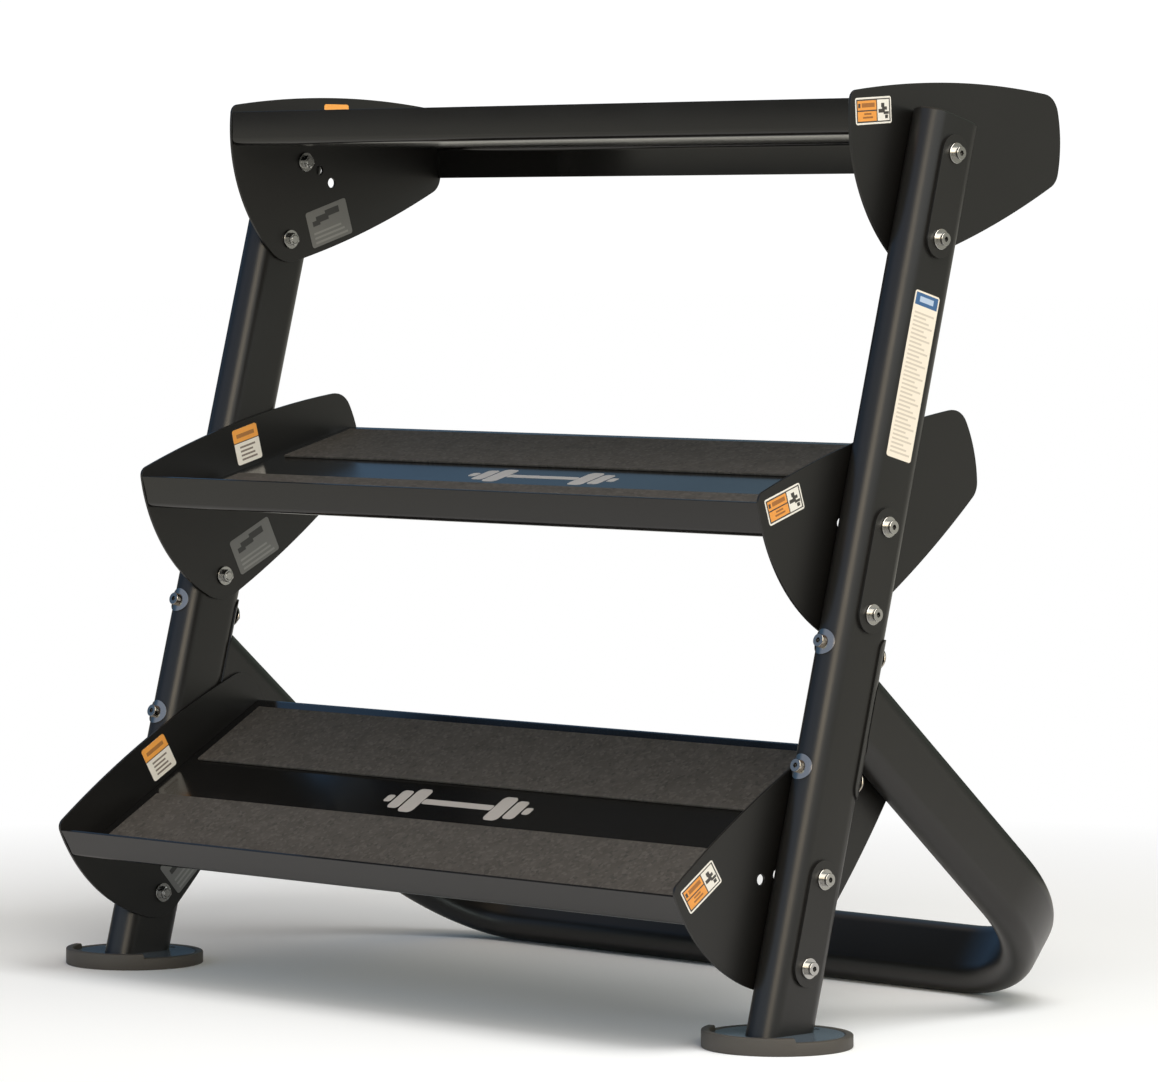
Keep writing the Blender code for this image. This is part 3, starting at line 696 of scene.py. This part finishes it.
def corner_centre(first, second, radius, near):
    """Centre of the arc that touches two larger arcs from inside, on the side of the near point."""
    (ax, ay, ar), (bx, by, br) = first, second
    from_a = ar - radius
    from_b = br - radius
    apart = math.hypot(bx - ax, by - ay)
    along = (apart**2 + from_a**2 - from_b**2) / (2 * apart)
    across = math.sqrt(from_a**2 - along**2)
    ux, uy = (bx - ax) / apart, (by - ay) / apart
    choices = [
        (ax + along * ux - sign * across * uy, ay + along * uy + sign * across * ux)
        for sign in (-1, 1)
    ]
    return min(choices, key=lambda point: math.hypot(point[0] - near[0], point[1] - near[1]))


def fine_arc(centre_a, centre_b, radius, start, sweep):
    """Arc with its points about one outline step apart, and at least six steps."""
    steps = max(6, round(radius * sweep / OUTLINE_STEP))
    return arc(centre_a, centre_b, radius, start, start + sweep, steps)


def plate_outline():
    """Side plate outline from the pivot, anticlockwise: eight arcs that meet smoothly."""
    corners = [
        (PLATE_TOP_ARC, PLATE_FRONT_ARC, PLATE_FRONT_CORNER, (-0.08, 0.14)),
        (PLATE_FRONT_ARC, PLATE_LOWER_ARC, PLATE_LOBE, (0.0, 0.0)),
        (PLATE_LOWER_ARC, PLATE_REAR_ARC, PLATE_REAR_LOW_CORNER, (0.21, 0.07)),
        (PLATE_REAR_ARC, PLATE_TOP_ARC, PLATE_REAR_TOP_CORNER, (0.21, 0.13)),
    ]
    joints = []
    for before, after, radius, near in corners:
        cx, cz = corner_centre(before, after, radius, near)
        start = math.atan2(cz - before[1], cx - before[0])
        end = math.atan2(cz - after[1], cx - after[0])
        joints.append((after, radius, cx, cz, start, end))
    points = []
    for i, (after, radius, cx, cz, start, end) in enumerate(joints):
        points += fine_arc(cx, cz, radius, start, (end - start) % (2 * math.pi))
        next_start = joints[(i + 1) % len(joints)][4]
        points += fine_arc(*after, end, (next_start - end) % (2 * math.pi))[1:-1]
    return points


def add_side_plate(tray, side_name, side):
    holes = [circle(0.0, 0.0, PLATE_HOLE_RADIUS)]
    for step in (1, 2, 3):
        angle = step * TILT_STEP
        y = ANGLE_BOLT_RADIUS * math.sin(angle)
        z = ANGLE_BOLT_RADIUS * math.cos(angle)
        holes.append(circle(y, z, PLATE_HOLE_RADIUS))
    low, high = sorted((side * PLATE_INNER, side * PLATE_OUTER))
    add_piece(
        f"{tray}_end_plate_{side_name}", slab(plate_outline(), holes, low, high), PLATE_COAT,
        f"{tray}_tray", (f"{tray}_side_plate_{side_name}",), tray_frame(tray), 0.0007,
    )


def pan_outline():
    """Bent sheet: front lip up, level floor, rear flange down."""
    steps = 10
    outer = PAN_BEND + SHEET
    quarter = math.pi / 2
    front = PAN_FRONT + outer
    rear = PAN_REAR - outer
    points = [(PAN_FRONT, PAN_LIP_TOP)]
    points += arc(front, PAN_UNDERSIDE + outer, outer, 2 * quarter, 3 * quarter, steps)
    points += arc(rear, PAN_FLOOR - outer, PAN_BEND, quarter, 0.0, steps)
    points.append((PAN_REAR - SHEET, PAN_FLANGE_BOTTOM))
    points.append((PAN_REAR, PAN_FLANGE_BOTTOM))
    points += arc(rear, PAN_FLOOR - outer, outer, 0.0, quarter, steps)
    points += arc(front, PAN_UNDERSIDE + outer, PAN_BEND, 3 * quarter, 2 * quarter, steps)
    points.append((PAN_FRONT + SHEET, PAN_LIP_TOP))
    return points


def box_outline(front, rear, low, high):
    return [(front, low), (rear, low), (rear, high), (front, high)]


def add_pan(tray):
    shape = slab(pan_outline(), [], -PLATE_INNER, PLATE_INNER)
    add_piece(
        f"{tray}_pan", shape, PAN_COAT, f"{tray}_tray", (f"{tray}_tray_pan",),
        tray_frame(tray), 0.0005,
    )


def add_mat(tray, place):
    """Rubber mat with softened edges, stuck to the tray's floor."""
    front = MAT_FRONTS[place]
    outline = box_outline(front, front + MAT_DEPTH, PAN_FLOOR, PAN_FLOOR + CLEAR + MAT_THICKNESS)
    add_piece(
        f"{tray}_rubber_{place}", slab(outline, [], -MAT_END, MAT_END), MAT_RUBBER, f"{tray}_tray",
        (f"{tray}_mat_{place}",), tray_frame(tray), 0.0009,
    )


def rounded_rectangle(width, height, radius, steps=6):
    points = []
    quarter = math.pi / 2
    for i, (a, b) in enumerate(((1, 1), (-1, 1), (-1, -1), (1, -1))):
        centre_a = a * (width / 2 - radius)
        centre_b = b * (height / 2 - radius)
        points += arc(centre_a, centre_b, radius, i * quarter, (i + 1) * quarter, steps)
    return points


def add_label(name, material, body, width, height, radius, place):
    """Thin printed label. Its local X and Y run across and up the print, and Z out of it."""
    outline = rounded_rectangle(width, height, radius)
    shape = loft([[Vector((a, b, z)) for a, b in outline] for z in (0.0, LABEL_THICKNESS)])
    label = add_piece(name, shape, material, body, matrix=place)
    layer = label.data.uv_layers.new(name="print")
    for loop in label.data.loops:
        corner = label.data.vertices[loop.vertex_index].co
        layer.data[loop.index].uv = (corner.x / width + 0.5, corner.y / height + 0.5)


def facing(normal, up, origin):
    """Matrix whose Z is the normal and whose Y is up, both unit vectors, at the origin given."""
    across = up.cross(normal)
    rows = Matrix((across, up, normal)).transposed().to_4x4()
    return Matrix.Translation(origin) @ rows


def on_plate(tray, x, centre, degrees=0.0):
    """Place on a face of a side plate that looks to the right: its x, centre and turn."""
    normal = Vector((1.0, 0.0, 0.0))
    up = Matrix.Rotation(math.radians(degrees), 3, "X") @ Vector((0.0, 0.0, 1.0))
    return tray_frame(tray) @ facing(normal, up, Vector((x, *centre)))


def add_tray_labels(tray):
    """Two labels on the inner face of the left side plate, and one outside the right one."""
    body = f"{tray}_tray"
    notice = on_plate(tray, -PLATE_INNER, NOTICE_PLACE)
    serial = on_plate(tray, -PLATE_INNER, SERIAL_PLACES[tray], SERIAL_TURNS[tray])
    hand = on_plate(tray, PLATE_OUTER, HAND_PLACES[tray], HAND_TURN)
    add_label(f"{tray}_notice_label", NOTICE_LABEL, body, *NOTICE_SIZE, 0.003, notice)
    add_label(f"{tray}_serial_label", SERIAL_LABEL, body, *SERIAL_SIZE, 0.003, serial)
    add_label(f"{tray}_hand_label", HAND_LABEL, body, *HAND_SIZE, 0.0025, hand)


def emblem_block(x, width, depth):
    """One rounded block of the pictogram, at its x on the tray's floor."""
    outline = rounded_rectangle(width, depth, min(width, depth) * 0.3)
    levels = (PAN_FLOOR, PAN_FLOOR + EMBLEM_THICKNESS)
    return loft([[Vector((x + a, EMBLEM_MIDDLE + b, z)) for a, b in outline] for z in levels])


def add_tray_emblem(tray):
    """Plain dumbbell pictogram printed on the bare strip between the mats."""
    shapes = [emblem_block(0.0, *EMBLEM_BAR)]
    for offset, width, depth in EMBLEM_DISCS:
        shapes.append(emblem_block(-offset, width, depth))
        shapes.append(emblem_block(offset, width, depth))
    add_piece(
        f"{tray}_emblem", join(*shapes), DECAL_WHITE, f"{tray}_tray",
        matrix=tray_frame(tray),
    )


def add_guide_label():
    """Long label on the outer face of the right upright."""
    centre = Vector((UPRIGHT_OUTER, 0.0, (GUIDE_LOW + GUIDE_HIGH) / 2))
    place = LEAN_FRAME @ facing(Vector((1.0, 0.0, 0.0)), Vector((0.0, 0.0, 1.0)), centre)
    add_label("upright_guide_label", GUIDE_LABEL, "rack", GUIDE_WIDTH, GUIDE_HIGH - GUIDE_LOW, 0.003, place)


# ---------------------------------------------------------------------------------------------
# Fasteners: rings about the local Z, which points out of the seat


def hexagon(flats):
    """Reach of a hexagon in a given direction, as a function of the angle."""
    def reach(angle):
        from_flat = (angle + math.pi / 6) % (math.pi / 3) - math.pi / 6
        return flats / 2 / math.cos(from_flat)
    return reach


def turned_shape(sections, closed_loop=False):
    """Skin of a turned piece: each section is its height and its reach, a radius or a function."""
    rings = []
    for height, reach in sections:
        ring = []
        for i in range(TURN_SIDES):
            angle = 2 * math.pi * i / TURN_SIDES
            radius = reach(angle) if callable(reach) else reach
            ring.append(Vector((radius * math.cos(angle), radius * math.sin(angle), height)))
        rings.append(ring)
    return loft(rings, closed_loop)


def flat_washer(low, radius=WASHER_RADIUS, bore=SHANK_RADIUS + CLEAR):
    soft = 0.0003
    high = low + WASHER_THICKNESS
    return turned_shape(
        [
            (low, bore), (low, radius - soft), (low + soft, radius), (high - soft, radius),
            (high, radius - soft), (high, bore),
        ],
        closed_loop=True,
    )


def socket_head(seat):
    """Socket cap head: a plain cylinder with a hexagon socket."""
    soft = 0.00025
    top = seat + HEAD_HEIGHT
    return turned_shape([
        (seat, SHANK_RADIUS), (seat, HEAD_RADIUS), (top - soft, HEAD_RADIUS), (top, HEAD_RADIUS - soft),
        (top, hexagon(SOCKET_FLATS)), (top - SOCKET_DEPTH, hexagon(SOCKET_FLATS)),
        (top - SOCKET_DEPTH - 0.0008, 0.0008),
    ])


def hexagon_nut(seat):
    """Nut below its seat, seen from inside the rack, with the bolt's end flush in it."""
    far = seat - NUT_HEIGHT
    groove = SHANK_RADIUS + CLEAR
    return turned_shape([
        (seat, SHANK_RADIUS), (seat, hexagon(NUT_FLATS)), (far + 0.0004, hexagon(NUT_FLATS)),
        (far, NUT_FLATS / 2 - 0.0002), (far, groove), (far + 0.0004, groove - 0.0001),
        (far - BOLT_END + 0.0003, SHANK_RADIUS - 0.0003), (far - BOLT_END, SHANK_RADIUS - 0.0006),
    ])


def across(side, height):
    """Place on a hole of an upright: the local Z points out of the rack, along X."""
    turn = Matrix.Rotation(side * math.pi / 2, 4, "Y")
    return LEAN_FRAME @ Matrix.Translation((0.0, 0.0, height)) @ turn


def turned_by(place, degrees):
    return place @ Matrix.Rotation(math.radians(degrees), 4, "Z")


def add_tray_fasteners(tray, side_name, side):
    """Both bolts of a tray's end: washers and heads outside, washers and nuts inside."""
    bolts = (("pivot", 0.0, PIVOT_BOLT_TWIST), ("angle", ANGLE_BOLT_RADIUS, TILT_BOLT_TWIST))
    for kind, offset, twist in bolts:
        place = turned_by(across(side, pivot_height(tray) + offset), twist * side)
        head = join(flat_washer(STRIP_OUTER), socket_head(STRIP_OUTER + WASHER_THICKNESS))
        add_piece(
            f"{tray}_{kind}_screw_{side_name}", head, SOCKET_ZINC, "rack",
            (f"{tray}_{kind}_bolt_{side_name}",), place,
        )
        washer_low = PLATE_INNER - CLEAR - WASHER_THICKNESS
        nut = join(flat_washer(washer_low), hexagon_nut(washer_low))
        add_piece(
            f"{tray}_{kind}_hex_nut_{side_name}", nut, ZINC, "rack",
            (f"{tray}_{kind}_nut_{side_name}",), place,
        )


def curved_washer():
    """Round washer pressed to the front of an upright, whose axis runs along the local Y."""
    rows = 14
    rings = []
    for level in (0.0, WASHER_THICKNESS):
        for step in range(rows + 1):
            share = step / rows if level else 1 - step / rows
            reach = SHANK_RADIUS + (CURVED_WASHER_RADIUS - SHANK_RADIUS) * share
            ring = []
            for i in range(TURN_SIDES):
                angle = 2 * math.pi * i / TURN_SIDES
                bend = reach * math.cos(angle) / TUBE_RADIUS
                x = (TUBE_RADIUS + level) * math.sin(bend)
                z = (TUBE_RADIUS + level) * math.cos(bend)
                ring.append(Vector((x, reach * math.sin(angle), ROUND_CENTRE + z)))
            rings.append(ring)
    inner = rings[rows::-1]
    outer = rings[rows + 1:]
    return loft(inner + outer[::-1], closed_loop=True)


def add_stand_fasteners(side_name, side):
    """Bolts that hold a saddle: curved washer and head in front, washer and nut behind."""
    turn = Matrix.Rotation(math.pi / 2, 4, "X")
    for place_name, offset in (("upper", STAND_BOLT_OFFSET), ("lower", -STAND_BOLT_OFFSET)):
        height = SADDLE_CENTRE + offset
        centre = LEAN_FRAME @ Matrix.Translation((side * UPRIGHT_X, 0.0, height)) @ turn
        add_piece(
            f"stand_{place_name}_curved_washer_{side_name}", curved_washer(), STAND_ZINC, "rack",
            (), centre, sharp=50,
        )
        seat = TUBE_DEPTH / 2 + WASHER_THICKNESS
        back = -(ROUND_CENTRE + SADDLE_RADIUS)
        rear_washer = back - WASHER_THICKNESS
        rear = join(flat_washer(rear_washer, REAR_WASHER_RADIUS), hexagon_nut(rear_washer))
        shape = join(socket_head(seat), rear)
        add_piece(
            f"stand_{place_name}_screw_{side_name}", shape, STAND_ZINC, "rack",
            (f"stand_bolt_{place_name}_{side_name}",), turned_by(centre, STAND_BOLT_TWIST),
        )


def add_bolt_strip(tray, side_name, side):
    """Obround strip under the two bolt heads of a tray."""
    middle = pivot_height(tray) + ANGLE_BOLT_RADIUS / 2
    outline = [(a, middle + b) for a, b in flat_oval(STRIP_LENGTH, STRIP_WIDTH)]
    low, high = sorted((side * UPRIGHT_OUTER, side * STRIP_OUTER))
    add_piece(
        f"{tray}_strip_{side_name}", slab(outline, [], low, high), COAT, "rack",
        (f"{tray}_bolt_strip_{side_name}",), LEAN_FRAME, 0.0006,
    )


# ---------------------------------------------------------------------------------------------
# Studio

CAMERA_FROM_UPRIGHTS = Vector((4.442, -4.242, 0.792))
CAMERA_AZIMUTH = math.radians(44.954)
CAMERA_PITCH = math.radians(2.909)
CAMERA_LENS = 184.6

WHITE = (1.0, 1.0, 1.0)
WARM_WHITE = (1.0, 0.97, 0.90)
AMBER = (1.0, 0.82, 0.56)

# Soft lights: name, azimuth and elevation in degrees, distance, size, power, tint, seen in reflections.
SOFT_LIGHTS = [
    ("right_light", 90, 62, 3.4, (2.0, 2.0), 62.0, WHITE, False),
    ("front_light", 45, 60, 3.4, (2.0, 2.0), 21.0, WHITE, False),
    ("streak_light", 51, 20, 7.5, (3.6, 2.6), 120.0, AMBER, True),
]
GLINT_LIGHT = ("glint_light", 60, 50, 3.4, (4.5, 3.2), 200.0, WARM_WHITE, True)
LIGHT_TARGET_BEHIND_FEET = 0.15
LIGHT_TARGET_HEIGHT = 0.45


def add_camera():
    data = bpy.data.cameras.new("camera")
    data.sensor_width = 36.0
    data.lens = CAMERA_LENS
    data.clip_end = 200.0
    camera = bpy.data.objects.new("camera", data)
    bpy.context.collection.objects.link(camera)
    camera.location = CAMERA_FROM_UPRIGHTS + Vector((0.0, FOOT_Y, 0.0))
    camera.rotation_euler = (math.pi / 2 - CAMERA_PITCH, 0.0, CAMERA_AZIMUTH)
    bpy.context.scene.camera = camera


def add_softbox(name, azimuth, elevation, distance, size, power, tint, glossy):
    """Soft light aimed at the rack. Azimuth 0 stands in front of the rack and 90 on its right."""
    data = bpy.data.lights.new(name, "AREA")
    data.shape = "RECTANGLE"
    data.size, data.size_y = size
    data.energy = power
    data.color = tint
    light = bpy.data.objects.new(name, data)
    bpy.context.collection.objects.link(light)
    a = math.radians(azimuth)
    e = math.radians(elevation)
    away = Vector((math.sin(a) * math.cos(e), -math.cos(a) * math.cos(e), math.sin(e)))
    target = Vector((0.0, FOOT_Y + LIGHT_TARGET_BEHIND_FEET, LIGHT_TARGET_HEIGHT))
    light.location = target + distance * away
    light.rotation_euler = away.to_track_quat("Z", "Y").to_euler()
    light.visible_glossy = glossy
    light.visible_camera = False
    return light


def light_only(light, pieces):
    """Let a light fall on the given pieces and on nothing else."""
    group = bpy.data.collections.new(f"{light.name}_group")
    for piece in pieces:
        group.objects.link(piece)
    light.light_linking.receiver_collection = group


def camera_ray(tree):
    return add_node(tree, "ShaderNodeLightPath").outputs["Is Camera Ray"]


def add_floor():
    """Pale floor that turns into the white backdrop away from the rack."""
    surface = bmesh.new()
    bmesh.ops.create_grid(surface, x_segments=4, y_segments=4, size=60.0)
    mesh = bpy.data.meshes.new("floor")
    surface.to_mesh(mesh)
    surface.free()
    material, tree, shader = new_material("white_floor")
    seen = camera_ray(tree)
    paint = mix_colour(tree, seen, colour(0.90, 0.90, 0.90), colour(0.96, 0.985, 1.0))
    tree.links.new(paint, shader.inputs["Base Color"])
    shader.inputs["Roughness"].default_value = 0.9
    shader.inputs["Specular IOR Level"].default_value = 0.0
    backdrop = mix_colour(tree, seen, colour(0.70, 0.68, 0.60), colour(1.0, 1.0, 1.0))
    glow = add_node(tree, "ShaderNodeEmission", {"Color": backdrop, "Strength": 1.0})
    away = add_node(tree, "ShaderNodeVectorMath", {0: object_position(tree)}, operation="LENGTH")
    share = remap(tree, away.outputs["Value"], 0.0, 1.0, 0.9, 1.9)
    mix = add_node(tree, "ShaderNodeMixShader", {
        0: share, 1: shader.outputs["BSDF"], 2: glow.outputs["Emission"],
    })
    output = next(node for node in tree.nodes if node.type == "OUTPUT_MATERIAL")
    tree.links.new(mix.outputs["Shader"], output.inputs["Surface"])
    mesh.materials.append(material)
    floor = bpy.data.objects.new("floor", mesh)
    bpy.context.collection.objects.link(floor)


# Soft bright panels of the studio's walls and ceiling: azimuth of the middle and half width in degrees
# (0 in front of the rack, 90 on its right), height of the middle and half height on the unit sphere, colour.
PANELS = [
    (0, 180, 1.00, 0.30, (0.50, 0.40, 0.30)),
    (0, 45, 0.42, 0.26, (0.40, 0.50, 0.70)),
    (90, 45, 0.42, 0.26, (1.45, 1.50, 1.50)),
    (180, 45, 0.42, 0.26, (0.25, 0.30, 0.25)),
    (270, 45, 0.42, 0.26, (0.10, 0.20, 0.35)),
    (0, 30, 0.00, 0.14, (2.40, 2.75, 2.60)),
    (300, 30, 0.00, 0.14, (0.15, 0.15, 0.15)),
    (135, 40, 0.03, 0.10, (0.35, 0.35, 0.30)),
]


def calculate(tree, operation, *values):
    return add_node(tree, "ShaderNodeMath", dict(enumerate(values)), operation=operation).outputs[0]


def soft_limit(tree, distance, half, softness):
    """1 within the half width and 0 outside it, with a soft edge."""
    limits = {"Value": distance, "From Min": half - softness, "From Max": half + softness}
    limits.update({"To Min": 1.0, "To Max": 0.0})
    edge = add_node(tree, "ShaderNodeMapRange", limits, interpolation_type="SMOOTHSTEP")
    return edge.outputs["Result"]


def panel_light(tree, place, panel):
    """Light of one panel: its colour within soft limits in height and in azimuth."""
    azimuth, half_width, height, half_height, tone = panel
    off = calculate(tree, "ABSOLUTE", calculate(tree, "SUBTRACT", place.outputs["Z"], height))
    inside = soft_limit(tree, off, half_height, 0.3 * half_height)
    if half_width < 180:
        x, y = place.outputs["X"], place.outputs["Y"]
        level = calculate(tree, "SQRT", calculate(
            tree, "ADD", calculate(tree, "MULTIPLY", x, x), calculate(tree, "MULTIPLY", y, y)))
        to_right = calculate(tree, "MULTIPLY", x, math.sin(math.radians(azimuth)))
        to_front = calculate(tree, "MULTIPLY", y, -math.cos(math.radians(azimuth)))
        facing_it = calculate(tree, "DIVIDE", calculate(tree, "ADD", to_right, to_front), level)
        turn = calculate(tree, "ARCCOSINE", facing_it)
        reach = soft_limit(tree, turn, math.radians(half_width), math.radians(12))
        inside = calculate(tree, "MULTIPLY", inside, reach)
    return add_node(tree, "ShaderNodeBackground", {"Color": colour(*tone), "Strength": inside})


def add_world():
    """White backdrop for the camera; everything else sees the studio's panels."""
    world = bpy.data.worlds.new("studio")
    bpy.context.scene.world = world
    world.use_nodes = True
    tree = world.node_tree
    tree.nodes.clear()
    direction = add_node(tree, "ShaderNodeTexCoord").outputs["Generated"]
    place = add_node(tree, "ShaderNodeSeparateXYZ", {"Vector": direction})
    studio = panel_light(tree, place, PANELS[0])
    for panel in PANELS[1:]:
        more = panel_light(tree, place, panel)
        studio = add_node(tree, "ShaderNodeAddShader", {0: studio.outputs[0], 1: more.outputs[0]})
    backdrop = add_node(tree, "ShaderNodeBackground", {"Color": colour(1.0, 1.0, 1.0), "Strength": 1.05})
    both = add_node(tree, "ShaderNodeMixShader", {
        0: camera_ray(tree), 1: studio.outputs[0], 2: backdrop.outputs[0],
    })
    output = add_node(tree, "ShaderNodeOutputWorld")
    tree.links.new(both.outputs["Shader"], output.inputs["Surface"])


def add_studio():
    add_camera()
    add_floor()
    add_world()
    for settings in SOFT_LIGHTS:
        add_softbox(*settings)
    glint = add_softbox(*GLINT_LIGHT)
    light_only(glint, [piece for piece in bpy.data.objects if "_screw_" in piece.name])
    bpy.context.scene.view_settings.view_transform = "Standard"


for side_name, side in SIDES.items():
    add_upright(side_name, side)
    add_foot(side_name, side)
    add_base_plate(side_name, side)
    add_saddle(side_name, side)
    add_stand_fasteners(side_name, side)
add_rear_stand()
add_guide_label()
for tray in TRAYS:
    add_pan(tray)
    add_mat(tray, "front")
    add_mat(tray, "rear")
    add_tray_labels(tray)
    add_tray_emblem(tray)
    for side_name, side in SIDES.items():
        add_side_plate(tray, side_name, side)
        add_bolt_strip(tray, side_name, side)
        add_tray_fasteners(tray, side_name, side)
add_studio()
